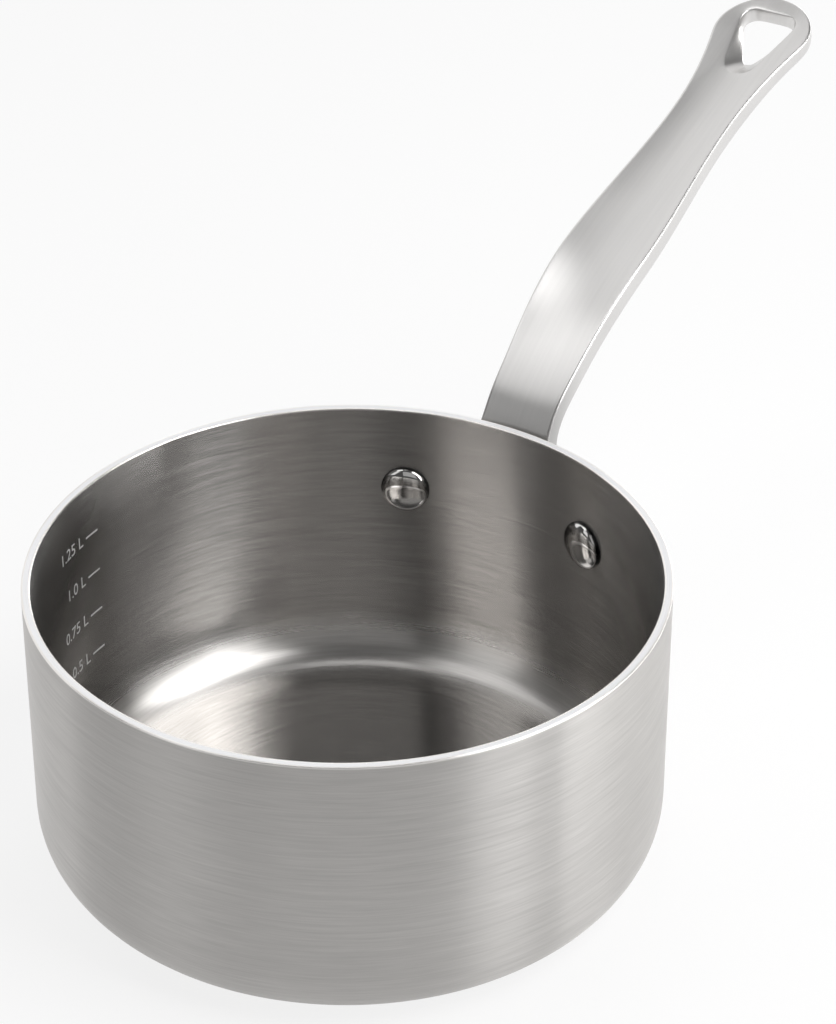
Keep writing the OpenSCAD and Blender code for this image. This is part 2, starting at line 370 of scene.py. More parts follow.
# Strokes to the metre, and how fast they change round the pan
FINE_STROKES, FINE_CHANGE = 2400.0, 3.0
COARSE_STROKES, COARSE_CHANGE = 900.0, 5.0
STROKE_SHADES = (0.87, 1.1)
# How deep the strokes are, and how strongly that shows
STROKE_DEPTH, STROKE_STRENGTH = 0.01 * MM, 0.06
STEEL_BLOTS, STEEL_BLOT_SHADES = 22.0, (0.97, 1.03)
# The rim's painted highlight: how pale it is, and how far below the top it starts and is full
PAINTED_RIM_HIGHLIGHT, RIM_START, RIM_FULL = 1.92, 0.6 * MM, 0.2 * MM
# Painted light: how much paler the floor's steel is painted than the wall's
PAINTED_FLOOR_LIGHT = 1.16
WALL_ANISOTROPY, FLOOR_ANISOTROPY = 1.0, 0.3
# How far strokes make the roughness vary, and how much rougher the middle of the corner is
WALL_SPREAD, FLOOR_SPREAD = 0.02, 0.015
WALL_BEND, FLOOR_BEND = 0.12, 0.08


def round_strokes(shader, across, up, along, change, strokes):
    """Noise drawn out into strokes round the pan's axis."""
    return shader.noise(shader.vector(across * change, up * change, along * strokes))


def brushed_round(name, rgb, wall_rough, floor_rough, floor_r, corner):
    """Steel brushed round the axis, smoother and painted paler on the floor, with a painted highlight at
    the rim.
    """
    shader = new_shader(name)
    x, y, z = shader.coordinates()
    radius = (x * x + y * y).root().most(POLE_R)
    across, up, along = x / radius, y / radius, radius + z
    fine = round_strokes(shader, across, up, along, FINE_CHANGE, FINE_STROKES)
    coarse = round_strokes(shader, across, up, along, COARSE_CHANGE, COARSE_STROKES)
    grain = (fine + coarse) / 2
    blots = shader.blots((x, y, z), STEEL_BLOTS)
    shade = shader.remap(grain, *STROKE_SHADES) * shader.remap(blots, *STEEL_BLOT_SHADES)
    # Painted highlight: the steel painted paler just below the rim's top
    rim = shader.remap(z, 1.0, PAINTED_RIM_HIGHLIGHT, RIM_HEIGHT - RIM_START, RIM_HEIGHT - RIM_FULL)
    normal = shader.bump(fine, STROKE_DEPTH, STROKE_STRENGTH)
    climb = shader.remap(radius, 0.0, 1.0, floor_r, floor_r + corner, "SMOOTHSTEP")
    # 1 in the middle of the corner, 0 on the floor and the wall
    bend = climb * (1 - climb) * 4
    wall_colour = shader.tint(rgb, shade * rim)
    wall_grain = shader.remap(grain, wall_rough - WALL_SPREAD, wall_rough + WALL_SPREAD)
    wall = shader.metal(wall_colour, wall_grain + bend * WALL_BEND, WALL_ANISOTROPY, QUARTER, normal)
    # Painted light: the floor's steel painted paler than the wall's
    floor_colour = shader.tint(rgb, shade * PAINTED_FLOOR_LIGHT)
    floor_grain = shader.remap(grain, floor_rough - FLOOR_SPREAD, floor_rough + FLOOR_SPREAD)
    floor = shader.metal(floor_colour, floor_grain + bend * FLOOR_BEND, FLOOR_ANISOTROPY, QUARTER, normal)
    return shader.finish(shader.mixed(climb, floor, wall))


# Grinding lines to the metre, across the handle and along it
LINES_ACROSS, LINES_ALONG, LINE_SHADES = 900.0, 30.0, (0.98, 1.02)
CAST_BLOTS, CAST_BLOT_SHADES = 30.0, (0.98, 1.02)
# How far blots make the roughness vary
CAST_SPREAD = (-0.02, 0.03)
# The root's painted shade: how dark it is, and how far outside the wall it begins to brighten and is
# bright
PAINTED_ROOT_SHADE, ROOT_START, ROOT_END = 0.6, 3 * MM, 24 * MM


def satin_cast(name, rgb, rough):
    """Cast steel, ground along the handle to a satin, with painted shade darker towards its root."""
    shader = new_shader(name)
    x, y, z = shader.coordinates()
    lines = shader.noise(shader.vector(x * LINES_ALONG, y * LINES_ACROSS, z * LINES_ALONG), 1.0)
    blots = shader.blots((x, y, z), CAST_BLOTS)
    # Painted shade: darker towards the root, near the wall
    root = shader.remap(x, PAINTED_ROOT_SHADE, 1.0, OUTER_R + ROOT_START, OUTER_R + ROOT_END, "SMOOTHSTEP")
    shade = shader.remap(lines, *LINE_SHADES) * shader.remap(blots, *CAST_BLOT_SHADES) * root
    roughness = shader.remap(blots, *(rough + part for part in CAST_SPREAD))
    return shader.finish(shader.metal(shader.tint(rgb, shade), roughness))


# Handling marks: blots to the metre, their shades, and the roughness as shares of the steel's
SMEARS, SMEAR_SHADES, SMEAR_SHARES = 500.0, (0.97, 1.02), (0.8, 1.3)
# The painted shade round a rivet's head where it meets the inner wall: how dark it is, how far off
# the wall it starts and is full, and how far outside the pan it is gone
PAINTED_CREASE_SHADE, CREASE_START, CREASE_FULL, CREASE_GONE = 0.05, 1.3 * MM, 0.6 * MM, 1 * MM


def polished_steel(name, rgb, rough):
    """Bright steel with faint handling marks, and painted shade where it meets the inner wall."""
    shader = new_shader(name)
    x, y, z = shader.coordinates()
    radius = (x * x + y * y).root()
    wall_r = CORE_INNER_R - settings().pan.inner_ply
    smears = shader.blots((x, y, z), SMEARS, 2.0)
    # Painted shade: dark where the head meets the inner wall, not on the formed head outside
    painted_crease_shade = shader.remap(
        radius, 1.0, PAINTED_CREASE_SHADE, wall_r - CREASE_START, wall_r - CREASE_FULL, "SMOOTHSTEP"
    )
    outside = shader.remap(radius, 0.0, 1.0, OUTER_R, OUTER_R + CREASE_GONE)
    shade = shader.remap(smears, *SMEAR_SHADES) * painted_crease_shade.most(outside)
    roughness = shader.remap(smears, *(rough * share for share in SMEAR_SHARES))
    return shader.finish(shader.metal(shader.tint(rgb, shade), roughness))


# Turning marks of the rim's edge
RINGS, RING_CHANGE = 6000.0, 6.0
RING_SHADES, RING_ANISOTROPY = (0.95, 1.03), 0.4


def cut_aluminium(name, rgb, rough):
    """Aluminium edge, turned with the rim."""
    shader = new_shader(name)
    x, y, z = shader.coordinates()
    radius = (x * x + y * y).root()
    rings = round_strokes(shader, x / radius, y / radius, radius, RING_CHANGE, RINGS)
    colour = shader.tint(rgb, shader.remap(rings, *RING_SHADES))
    return shader.finish(shader.metal(colour, rough, RING_ANISOTROPY, QUARTER))


# Etched grain: blots to the metre and their shades
GRITS, GRIT_SHADES = 4000.0, (0.75, 1.1)


def etched_steel(name, rgb):
    """Dull, pale steel of an etched mark."""
    shader = new_shader(name)
    grit = shader.blots(shader.coordinates(), GRITS, 2.0)
    inputs = {
        "Base Color": shader.tint(rgb, shader.remap(grit, *GRIT_SHADES)),
        "Metallic": 0.2,
        "Roughness": 0.75,
    }
    return shader.finish(shader.node("ShaderNodeBsdfPrincipled", None, inputs).out(0))


# Meshes
def ease(t):
    """t between 0 and 1, started and ended gently."""
    t = min(1.0, max(0.0, t))
    return t * t * (3 - 2 * t)


def mix(a, b, t):
    """The share t of the way from a to b."""
    return a + (b - a) * t


def blend(a, b, t):
    return mix(a, b, ease(t))


# Points nearer to each other than this are merged
MERGE = 0.001 * MM
# Edges that turn by more than this, in degrees, stay sharp
SMOOTH_ANGLE = 35


def add_piece(bm, name, material, nodes=(), smooth_angle=SMOOTH_ANGLE):
    """Makes the mesh an object of the saucepan, in place, with its finish."""
    mesh = bpy.data.meshes.new(name)
    bm.to_mesh(mesh)
    bm.free()
    for face in mesh.polygons:
        face.use_smooth = True
    mesh.set_sharp_from_angle(angle=math.radians(smooth_angle))
    mesh.materials.append(material)
    piece = bpy.data.objects.new(name, mesh)
    bpy.context.scene.collection.objects.link(piece)
    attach(piece, BODY)
    if nodes:
        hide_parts(*nodes)
    return piece


def round_corner(bm, vert, radius, steps):
    """Rounds one corner of a flat profile."""
    bmesh.ops.bevel(
        bm, geom=[vert], offset=radius, offset_type="OFFSET", affect="VERTICES",
        segments=steps, profile=0.5, material=-1,
    )


def spin_round(bm, steps):
    """Turns the profile once round the Z axis and closes the shape."""
    bmesh.ops.spin(
        bm, geom=bm.verts[:] + bm.edges[:], cent=(0, 0, 0), axis=(0, 0, 1), dvec=(0, 0, 0),
        angle=math.tau, steps=steps, use_merge=True,
    )
    bmesh.ops.remove_doubles(bm, verts=bm.verts, dist=MERGE)
    bmesh.ops.recalc_face_normals(bm, faces=bm.faces)


def add_profile(bm, points):
    """A chain of edges through points in the XZ plane."""
    verts = [bm.verts.new((x, 0, z)) for x, z in points]
    for a, b in zip(verts, verts[1:]):
        bm.edges.new((a, b))
    return verts


# Pan
CORNER_STEPS = 14
RIM_STEPS = 4


def build_ply(name, material, node, outer_r, low_z, inner_r, thick, inner_edge, outer_edge):
    """One ply: floor, corner and wall in one spun skin."""
    pan = settings().pan
    corner = pan.corner_r - (OUTER_R - outer_r)
    bm = bmesh.new()
    points = [
        (0, low_z), (outer_r, low_z), (outer_r, RIM_HEIGHT),
        (inner_r, RIM_HEIGHT), (inner_r, low_z + thick), (0, low_z + thick),
    ]
    verts = add_profile(bm, points)
    round_corner(bm, verts[1], corner, CORNER_STEPS)
    if outer_edge:
        round_corner(bm, verts[2], outer_edge, RIM_STEPS)
    if inner_edge:
        round_corner(bm, verts[3], inner_edge, RIM_STEPS)
    round_corner(bm, verts[4], corner - thick, CORNER_STEPS)
    spin_round(bm, pan.turns)
    return add_piece(bm, name, material, [node])


class SAUCEPAN_OT_pan(Operator):
    """Build the three bonded plies of the pan"""

    bl_idname = "saucepan.pan"
    bl_label = "Pan"

    def execute(self, context):
        pan, finish = settings().pan, settings().finish
        floor_r = OUTER_R - pan.corner_r
        corner = pan.corner_r - (OUTER_R - CORE_INNER_R)
        inside = brushed_round(
            "Brushed steel inside", finish.steel, finish.inside_rough, finish.bottom_rough, floor_r, corner
        )
        outside = brushed_round(
            "Brushed steel outside", finish.steel, finish.outside_rough, finish.underside_rough,
            floor_r, pan.corner_r,
        )
        core = cut_aluminium("Aluminium core", finish.core, finish.core_rough)
        build_ply(
            "Pan_outside", outside, "outer_ply",
            OUTER_R, FLOOR_OUTER_Z, CORE_OUTER_R, CORE_LOW_Z - FLOOR_OUTER_Z, 0, pan.rim_edge,
        )
        build_ply(
            "Pan_core", core, "core_ply",
            CORE_OUTER_R, CORE_LOW_Z, CORE_INNER_R, INNER_LOW_Z - CORE_LOW_Z, 0, 0,
        )
        build_ply(
            "Pan_inside", inside, "inner_ply",
            CORE_INNER_R, INNER_LOW_Z, CORE_INNER_R - pan.inner_ply, pan.inner_ply, pan.rim_edge, 0,
        )
        return {"FINISHED"}


# Handle
# Places of the lines along the handle, as shares of its half width
SHARES = (-1.0, -0.62, -0.3, 0.0, 0.3, 0.62, 1.0)
# Thickness of the flat plate that is bent into the casting
FLAT_T = 6 * MM
# Steps round the tip, along each flank of the tip, out to each lug, down the root, over an edge
TIP_STEPS, FLANK_STEPS, WING_STEPS, ROOT_ROWS, EDGE_STEPS = 22, 6, 5, 6, 3
# Distance between two rows along the bar
STATION = 4.5 * MM
# Half width of the flange's middle strip, and the length over which the neck flares out to it
FLANGE_STRIP_W, FLARE_LEN = 14 * MM, 7 * MM
# Share of the strip over which the bar's rib slopes down to the flange
RIB_FLANK_SHARE = 0.85
# Length over which the rib widens to the whole bar, and how much of it lies below the strip's top
WEB = 12 * MM
WEB_LAP = WEB / 3
# Thickness where the root begins, as a share of the flange's
ROOT_T_SHARE = 0.4
# Where along the root the handle starts to lift off the wall, and over how much of it
LIFT_AT_SHARE, LIFT_SHARE = 0.8, 0.3
# Narrow flat beside a rounded edge, which keeps the edge crisp
SUPPORT = 0.5 * MM
# Share of the lower edge's radius that is rounded in the flat plate, before the sides lean in
LOW_EDGE_SHARE = 0.65
# Metal between the hole and the joint of tip and bar
JOIN = 7 * MM
# How far the hole's middle lies before the centre of the round tip
HOLE_MIDDLE = 1.5 * MM
# Least cosine between the normal of a hole's edge and the direction that it is measured in
LEAST_FACING = 0.01
# Half a bend smaller than this counts as straight
SMALLEST_TURN = 1e-9
# Least height of the normal of a face that looks up
LOOKS_UP = 0.5
HANDLE_SMOOTH_ANGLE = 60
SMOOTH_LEVELS = 2


class Spine:
    """The handle's top face along its middle: straight legs and arcs in the XZ plane."""

    def __init__(self, size):
        up, ramp, grip, tip = math.pi / 2, size.ramp_angle, size.grip_angle, size.tip_angle
        self.legs = [
            (size.root_len, up, up),
            (size.root_bend_r * (up - ramp), up, ramp),
            (size.ramp_len, ramp, ramp),
            (size.shoulder_r * (ramp - grip), ramp, grip),
            (size.grip_len, grip, grip),
            (size.tip_len, grip, tip),
        ]
        self.length = sum(leg[0] for leg in self.legs)
        self.start = Vector((OUTER_R + size.wall_gap, 0, size.leave_z - size.root_len))

    @staticmethod
    def chord(leg, d):
        run, a, b = leg
        half = (b - a) * d / run / 2
        ratio = math.sin(half) / half if abs(half) > SMALLEST_TURN else 1.0
        return d * ratio * Vector((math.cos(a + half), 0, math.sin(a + half)))

    def at(self, s):
        """Point and slope at distance s."""
        point, left = self.start.copy(), s
        for leg in self.legs[:-1]:
            if left < leg[0]:
                break
            point += self.chord(leg, leg[0])
            left -= leg[0]
        else:
            leg = self.legs[-1]
        return point + self.chord(leg, left), leg[1] + (leg[2] - leg[1]) * left / leg[0]


class HandleForm:
    """The casting's sizes along its spine (s) and across it (u)."""

    def __init__(self, size, hole, rivet):
        self.size, self.hole, self.rivet = size, hole, rivet
        self.spine = Spine(size)
        self.tip_r = size.tip_d / 2
        self.tip_at = self.spine.length - self.tip_r
        self.neck = size.root_len + size.neck_at
        self.belly = size.root_len + size.belly_at
        self.waist = size.root_len + size.waist_at
        run, waist_half = self.tip_at - self.waist, size.waist_w / 2
        self.flank_r = (run ** 2 - self.tip_r ** 2 + waist_half ** 2) / (2 * (self.tip_r - waist_half))
        self.touch = self.waist + run * self.flank_r / (self.flank_r + self.tip_r)
        self.touch_angle = math.asin((self.tip_at - self.touch) / self.tip_r)
        self.hole_far = self.tip_r - hole.ring_w
        self.hole_near = hole.top_length - self.hole_far
        self.hole_middle = Vector((self.tip_at - HOLE_MIDDLE, 0))
        self.join = self.tip_at - self.hole_near - JOIN
        low = size.leave_z - size.root_len
        self.lug = Vector((rivet.height - low, OUTER_R * math.asin(rivet.pitch / 2 / OUTER_R)))
        self.hub = Vector((rivet.height + size.hub_rise - low, 0))
        away = self.lug - self.hub
        lean = math.atan2(away.x, away.y)
        turn = math.acos((size.hub_r - size.lug_r) / away.length)
        self.lug_top, self.lug_low = lean + turn, lean - turn
        self.flange_top = self.tangent(self.lug_top, FLANGE_STRIP_W)

    def half_width(self, s):
        size = self.size
        if s < self.neck:
            left = max(0.0, 1 - (s - self.flange_top) / FLARE_LEN)
            return mix(size.neck_w / 2, FLANGE_STRIP_W, min(1.0, left ** 2))
        if s < self.belly:
            return blend(size.neck_w, size.belly_w, (s - self.neck) / (self.belly - self.neck)) / 2
        if s < self.waist:
            return blend(size.belly_w, size.waist_w, (s - self.belly) / (self.waist - self.belly)) / 2
        return size.waist_w / 2 + self.flank_r - math.sqrt(self.flank_r ** 2 - (s - self.waist) ** 2)

    def lug_point(self, turn):
        """Point of the lug's round end, as (s, u)."""
        return self.lug + self.size.lug_r * Vector((math.sin(turn), math.cos(turn)))

    def hub_point(self, turn):
        return self.hub + self.size.hub_r * Vector((math.sin(turn), math.cos(turn)))

    def tangent(self, turn, u):
        """s of the straight edge from hub to lug, at u."""
        a, b = self.hub_point(turn), self.lug_point(turn)
        return mix(a.x, b.x, (u - a.y) / (b.y - a.y))

    def flange_low(self, u):
        """s of the flange's lower edge, at u."""
        u = abs(u)
        if u < self.hub_point(self.lug_low).y:
            return self.hub.x - math.sqrt(self.size.hub_r ** 2 - u ** 2)
        return self.tangent(self.lug_low, u)

    def thickness(self, s):
        size, root = self.size, self.size.flange_t * ROOT_T_SHARE
        if s < self.neck:
            return blend(root, size.neck_t, s / self.neck)
        if s < self.belly:
            return blend(size.neck_t, size.grip_t, (s - self.neck) / (self.belly - self.neck))
        return blend(size.grip_t, size.tip_t, (s - self.waist) / (self.tip_at - self.waist))

    def share(self, s, u):
        """How far (s, u) is from the middle line to the edge."""
        if s > self.tip_at:
            return min(1.0, math.hypot(s - self.tip_at, u) / self.tip_r)
        return min(1.0, abs(u) / self.half_width(s))

    def depth(self, s, u, level):
        """Depth below the spine of a point that lies level below the flat plate's top face."""
        size = self.size
        # The dish and the hollow grow from the root to the belly, and end at the edges
        relief = ease((s - size.root_len) / (self.belly - size.root_len)) * (1 - self.share(s, u) ** 2)
        # The flange lies on the wall, and the root above it clears the wall
        lift = ease((s - LIFT_AT_SHARE * size.root_len) / (LIFT_SHARE * size.root_len))
        seat = size.wall_gap * (1 - lift)
        # The bar's thickness goes on into the flange as a rib with sloping flanks
        flange, bar = size.flange_t - size.wall_gap, self.thickness(s)
        rib = ease((FLANGE_STRIP_W - abs(u)) / (RIB_FLANK_SHARE * FLANGE_STRIP_W))
        rib = mix(rib, 1.0, ease((s - self.flange_top + WEB_LAP) / WEB))
        root = flange + max(0.0, bar - flange) * rib
        upper = size.dish * relief - seat
        lower = mix(root, bar, ease((s - size.root_len) / size.neck_at)) - size.hollow * relief
        squeeze = min(1.0, (lower - upper) / FLAT_T)
        if level < FLAT_T / 2:
            return upper + level * squeeze
        return lower - (FLAT_T - level) * squeeze

    def place(self, flat):
        """Point of the casting for a point of the flat plate: x along, y across, -z deep."""
        size = self.size
        s, u, level = flat.x, flat.y, -flat.z
        depth = self.depth(s, u, level)
        # 1 where the casting follows the curve of the wall, 0 where it has left it
        hug = 1 - ease((s - size.root_len) / size.neck_at)
        soft = (1 - LOW_EDGE_SHARE) * size.low_edge_r * ease((level - FLAT_T) / size.low_edge_r + 1)
        lean = (size.side_draft * min(1.0, level / FLAT_T) + soft) * (1 - hug)
        if s > self.tip_at:
            s -= lean * (s - self.tip_at) / self.tip_r
            u -= lean * u / self.tip_r
        else:
            u -= lean * u / self.half_width(s)
        point, slope = self.spine.at(s)
        point += depth * Vector((math.sin(slope), 0, -math.cos(slope)))
        turn = u / OUTER_R
        radius = OUTER_R + size.wall_gap + depth
        point.x += hug * radius * (math.cos(turn) - 1)
        point.y = u + hug * (radius * math.sin(turn) - u)
        return point

    def hole_edge(self, direction, share):
        """Point of the hole's edge in a direction from its middle, at a share of the thickness."""
        hole = self.hole
        far_r = hole.far_r - hole.taper * share
        far = Vector((self.tip_at + self.hole_far - hole.far_r, hole.width / 2 - hole.far_r))
        near_r = mix(hole.near_r, hole.near_low_r, share)
        near = Vector((self.tip_at - self.hole_near + near_r + hole.near_draft * share, 0))
        corners = [(far, far_r), (Vector((far.x, -far.y)), far_r), (near, near_r)]
        # The edge wraps round the three corners, so the nearest of its tangents gives the reach
        reach = math.inf
        for k in range(360):
            normal = Vector((math.cos(math.radians(k)), math.sin(math.radians(k))))
            facing = normal.dot(direction)
            if facing > LEAST_FACING:
                edge = max(normal.dot(centre - self.hole_middle) + r for centre, r in corners)
                reach = min(reach, edge / facing)
        return self.hole_middle + direction * reach


def next_row(bm, row, places):
    """Extrudes a row of vertices and puts each new vertex in its place."""
    edges = [edge for a, b in zip(row, row[1:]) for edge in a.link_edges if edge.other_vert(a) == b]
    made = bmesh.ops.extrude_edge_only(bm, edges=edges)
    fresh = {item for item in made["geom"] if isinstance(item, bmesh.types.BMVert)}
    result = []
    for old, place in zip(row, places):
        vert = next(e.other_vert(old) for e in old.link_edges if e.other_vert(old) in fresh)
        vert.co = (*place, 0)
        result.append(vert)
    return result


def tip_outline(form):
    """Outline of the tip, from one end of the joint with the bar round to the other, then back."""
    join = form.join
    flank = [mix(join, form.touch, k / FLANK_STEPS) for k in range(FLANK_STEPS)]
    lower = [(s, -form.half_width(s)) for s in flank]
    first, last = -form.touch_angle, math.pi + form.touch_angle
    turns = [mix(first, last, k / TIP_STEPS) for k in range(TIP_STEPS + 1)]
    end = [(form.tip_at + form.tip_r * math.sin(a), -form.tip_r * math.cos(a)) for a in turns]
    upper = [(s, -u) for s, u in reversed(lower)]
    joint = [(join, share * form.half_width(join)) for share in reversed(SHARES[1:-1])]
    return lower + end + upper + joint


def flat_sheet(bm, form, rank):
    """The handle's plan as one flat sheet: tip, bar, hub and lugs."""
    join = form.join
    outline = tip_outline(form)
    made = bmesh.ops.create_circle(bm, cap_ends=True, radius=form.tip_r, segments=len(outline))
    tip = made["verts"]
    for k, (vert, place) in enumerate(zip(tip, outline)):
        vert.co = (*place, 0)
        vert[rank] = k + 1
    between = len(SHARES) - 2
    row = [tip[0], *reversed(tip[-between:]), tip[-between - 1]]
    # Bar, from the joint back to the flange
    bar_rows = round((join - form.flange_top) / STATION)
    for k in range(1, bar_rows + 1):
        s = mix(join, form.flange_top, k / bar_rows)
        row = next_row(bm, row, [(s, share * form.half_width(s)) for share in SHARES])
    # Middle strip of the flange, whose two sides the lugs start from
    sides = {-1: [row[0]], 1: [row[-1]]}
    for k in range(1, ROOT_ROWS + 1):
        across = [share * FLANGE_STRIP_W for share in SHARES]
        places = [(mix(form.flange_top, form.flange_low(u), k / ROOT_ROWS), u) for u in across]
        row = next_row(bm, row, places)
        sides[-1].append(row[0])
        sides[1].append(row[-1])
    for side, column in sides.items():
        inner = [vert.co.xy for vert in column]
        turns = [mix(form.lug_top, form.lug_low, k / ROOT_ROWS) for k in range(ROOT_ROWS + 1)]
        outer = [Vector((p.x, side * p.y)) for p in map(form.lug_point, turns)]
        for k in range(1, WING_STEPS + 1):
            column = next_row(bm, column, [a.lerp(b, k / WING_STEPS) for a, b in zip(inner, outer)])


def round_over(bm, faces, wide, high):
    """Insets faces step by step over a quarter round, and leaves a narrow flat beside it."""
    turns = [math.pi / 2 * k / EDGE_STEPS for k in range(EDGE_STEPS + 1)]
    steps = [(wide * (math.cos(a) - math.cos(b)), high * (math.sin(b) - math.sin(a)))
             for a, b in zip(turns, turns[1:])]
    for inwards, up in steps + [(SUPPORT, 0)]:
        bmesh.ops.inset_region(
            bm, faces=faces, use_boundary=True, use_even_offset=True, thickness=inwards, depth=up
        )


def cut_hole(bm, form, rank, top, low):
    """Opens the hanging hole between the tip's two faces, joins them with a wall, rounds its edges."""
    outline = tip_outline(form)
    loops = []
    for face, share, level in ((top, 0.0, 0.0), (low, 1.0, FLAT_T)):
        bmesh.ops.inset_individual(bm, faces=[face], thickness=form.hole.edge_r)
        loop = {vert[rank]: vert for vert in face.verts}
        for key, vert in loop.items():
            direction = (Vector(outline[key - 1]) - form.hole_middle).normalized()
            vert.co = (*form.hole_edge(direction, share), -level)
        loops.append((loop, face.edges[:]))
        bmesh.ops.delete(bm, geom=[face], context="FACES_ONLY")
    (top_loop, top_edges), (low_loop, _) = loops
    made = bmesh.ops.extrude_edge_only(bm, edges=top_edges)
    fresh = [item for item in made["geom"] if isinstance(item, bmesh.types.BMVert)]
    bmesh.ops.weld_verts(bm, targetmap={vert: low_loop[vert[rank]] for vert in fresh})
    rounds = [set(loop.values()) for loop in (top_loop, low_loop)]
    rims = [edge for edge in bm.edges if any(loop.issuperset(edge.verts) for loop in rounds)]
    bmesh.ops.bevel(
        bm, geom=rims, offset=form.hole.edge_r, offset_type="OFFSET", affect="EDGES",
        segments=2, profile=0.5, material=-1,
    )


def build_handle(material):
    """The casting: a flat plate with rounded edges and a hole, bent along its spine and the wall."""
    size = settings().handle
    form = HandleForm(size, settings().hole, settings().rivet)
    bm = bmesh.new()
    rank = bm.verts.layers.int.new("rank")
    flat_sheet(bm, form, rank)
    bmesh.ops.translate(bm, verts=bm.verts, vec=(0, 0, -size.top_edge_r))
    made = bmesh.ops.extrude_face_region(bm, geom=bm.faces[:])
    low_verts = [item for item in made["geom"] if isinstance(item, bmesh.types.BMVert)]
    drop = FLAT_T - size.top_edge_r - size.low_edge_r
    bmesh.ops.translate(bm, verts=low_verts, vec=(0, 0, -drop))
    bmesh.ops.recalc_face_normals(bm, faces=bm.faces)
    tops = [face for face in bm.faces if face.normal.z > LOOKS_UP]
    lows = [face for face in bm.faces if face.normal.z < -LOOKS_UP]
    tips = [max(faces, key=lambda face: len(face.verts)) for faces in (tops, lows)]
    round_over(bm, tops, size.top_edge_r, size.top_edge_r)
    round_over(bm, lows, LOW_EDGE_SHARE * size.low_edge_r, size.low_edge_r)
    cut_hole(bm, form, rank, *tips)
    for vert in bm.verts:
        vert.co = form.place(vert.co)
    bmesh.ops.recalc_face_normals(bm, faces=bm.faces)
    piece = add_piece(bm, "Handle", material, ["handle"], HANDLE_SMOOTH_ANGLE)
    smooth = piece.modifiers.new("Smooth casting", "SUBSURF")
    smooth.levels = smooth.render_levels = SMOOTH_LEVELS
    return piece


class SAUCEPAN_OT_handle(Operator):
    """Build the cast handle with its flange and hanging hole"""

    bl_idname = "saucepan.handle"
    bl_label = "Handle"

    def execute(self, context):
        finish = settings().finish
        build_handle(satin_cast("Satin cast steel", finish.cast, finish.cast_rough))
        return {"FINISHED"}


# Rivets
DOME_STEPS = 12
RIVET_TURNS = 64
# How far each head reaches into what it clamps
SUNK = 0.3 * MM


def dome_points(radius, height, base):
    """Points of a dome's profile, from its top on the axis out to its upright edge."""
    turns = [math.pi / 2 * k / DOME_STEPS for k in range(DOME_STEPS + 1)]
    return [(radius * math.sin(a), base + height * math.cos(a)) for a in turns]


def build_rivet(side, name, node, material):
    """One rivet, turned about its own axis, then laid through the wall on one side of the handle."""
    size, flange_t = settings().rivet, settings().handle.flange_t
    wall = OUTER_R - (CORE_INNER_R - settings().pan.inner_ply)
    tail_z = -wall - flange_t
    head_r, shank_r, tail_r = size.head_d / 2, size.shank_d / 2, size.tail_d / 2
    head = dome_points(head_r, size.head_h - size.head_edge, size.head_edge)
    shank = [(head_r, -SUNK), (shank_r, -SUNK), (shank_r, tail_z + SUNK), (tail_r, tail_z + SUNK)]
    tail = [(r, tail_z - z) for r, z in reversed(dome_points(tail_r, size.tail_h, 0))]
    bm = bmesh.new()
    add_profile(bm, head + shank + tail)
    spin_round(bm, RIVET_TURNS)
    turn = side * math.asin(size.pitch / 2 / OUTER_R)
    inwards = Matrix.Rotation(turn, 4, "Z") @ Matrix.Translation((OUTER_R - wall, 0, size.height))
    bmesh.ops.transform(bm, verts=bm.verts, matrix=inwards @ Matrix.Rotation(-math.pi / 2, 4, "Y"))
    return add_piece(bm, name, material, [node])


class SAUCEPAN_OT_rivets(Operator):
    """Build the two rivets, with a domed head inside and a formed head outside"""

    bl_idname = "saucepan.rivets"
    bl_label = "Rivets"

    def execute(self, context):
        finish = settings().finish
        polished = polished_steel("Polished steel", finish.polished, finish.polished_rough)
        build_rivet(1, "Rivet_left", "rivet_left", polished)
        build_rivet(-1, "Rivet_right", "rivet_right", polished)
        return {"FINISHED"}


# Volume marks
# Height of a capital as a share of the letters' size
CAPITAL_SHARE = 0.73
LETTER_STEPS = 3
DASH_STEPS = 8
# Cubic metres
LITRE = 0.001


